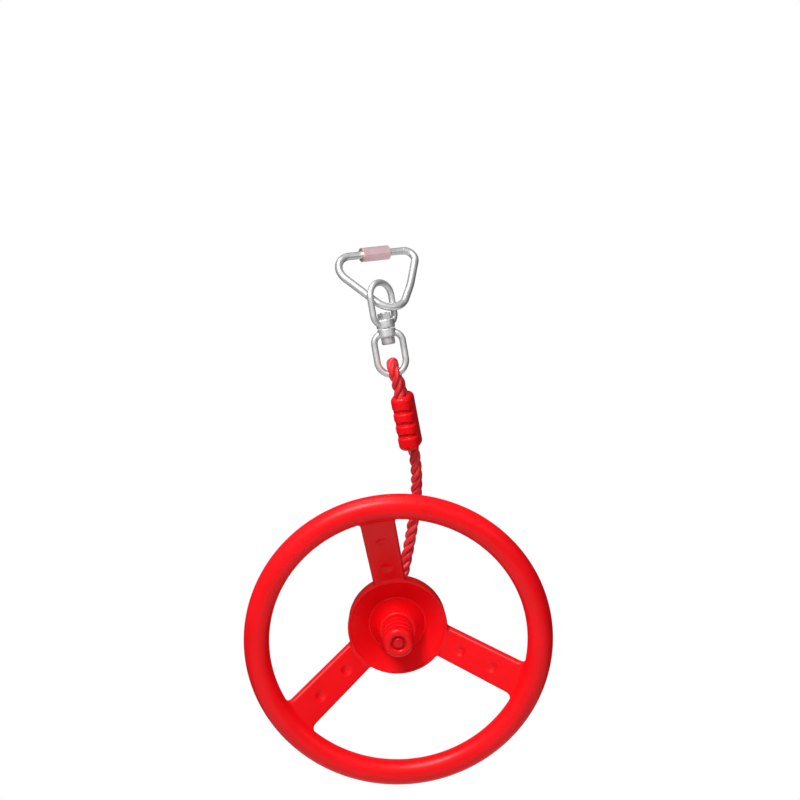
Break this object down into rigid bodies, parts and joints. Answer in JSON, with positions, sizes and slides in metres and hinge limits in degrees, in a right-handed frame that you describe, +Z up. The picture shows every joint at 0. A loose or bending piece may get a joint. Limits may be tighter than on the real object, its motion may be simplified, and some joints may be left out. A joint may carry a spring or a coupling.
{
  "type": "hanging hand wheel",
  "caption": "Three-spoked hand wheel with a cupped hub, hung by a laid rope, moulded clamp, eye swivel and triangular quick link.",
  "frame": {"origin": "the hang point: the middle of the quick link's long side, on the wire's centre line", "axes": "+Z up the hanging line, -Y towards the wheel's grip side, +X to the right of somebody facing it"},
  "size_m": [0.25, 0.133, 0.438],
  "materials": {
    "red_moulding": "semi-gloss moulded plastic",
    "red_rope": "laid polypropylene rope",
    "zinc_steel": "bright zinc plate",
    "sleeve_steel": "zinc plate with a rosy cast"
  },
  "bodies": {
    "link": {"link_bar": "zinc_steel"},
    "sleeve": {"link_sleeve_nut": "sleeve_steel"},
    "swivel_top": {"swivel_upper_eye": "zinc_steel"},
    "swivel_bottom": {"swivel_lower_eye": "zinc_steel", "swivel_bolt": "zinc_steel", "swivel_nut": "zinc_steel"},
    "rope": {"rope_eye": "red_rope", "rope_clamp": "red_moulding", "rope_run": "red_rope"},
    "rope_tail": {"rope_through_hub": "red_rope", "stopper": "red_moulding", "rope_melted_end": "red_rope"},
    "wheel": {"wheel_rim": "red_moulding", "wheel_hub": "red_moulding", "wheel_spoke_1": "red_moulding", "wheel_spoke_2": "red_moulding", "wheel_spoke_3": "red_moulding"}
  },
  "joints": [
    {"name": "sleeve_travel", "type": "slide", "parent": "link", "child": "sleeve", "axis": [0.9017, 0.4305, 0.0394], "range_m": [0, 0.0124]},
    {"name": "eye_swing", "type": "hinge", "parent": "link", "child": "swivel_top", "pos_m": [-0.0028, -0.0286, -0.0359], "axis": [0.9098, 0.1061, -0.4013], "range_deg": [-55, 12]},
    {"name": "swivel_spin", "type": "hinge", "parent": "swivel_top", "child": "swivel_bottom", "pos_m": [0.0037, -0.0277, -0.0212], "axis": [0.0985, 0, -0.9951], "continuous": true},
    {"name": "rope_eye_swing", "type": "hinge", "parent": "swivel_bottom", "child": "rope", "pos_m": [0.01138, -0.0277, -0.09877], "axis": [0.9951, 0, 0.0985], "range_deg": [-50, 20]},
    {"name": "wheel_tilt", "type": "hinge", "parent": "rope", "child": "rope_tail", "pos_m": [0, 0.00849, -0.29657], "axis": [1, 0, 0], "range_deg": [-12, 125], "deforming": ["rope_run"]},
    {"name": "wheel_spin", "type": "hinge", "parent": "rope_tail", "child": "wheel", "pos_m": [0, -0.0387, -0.3131], "axis": [0, -0.9438, -0.3305], "continuous": true}
  ]
}
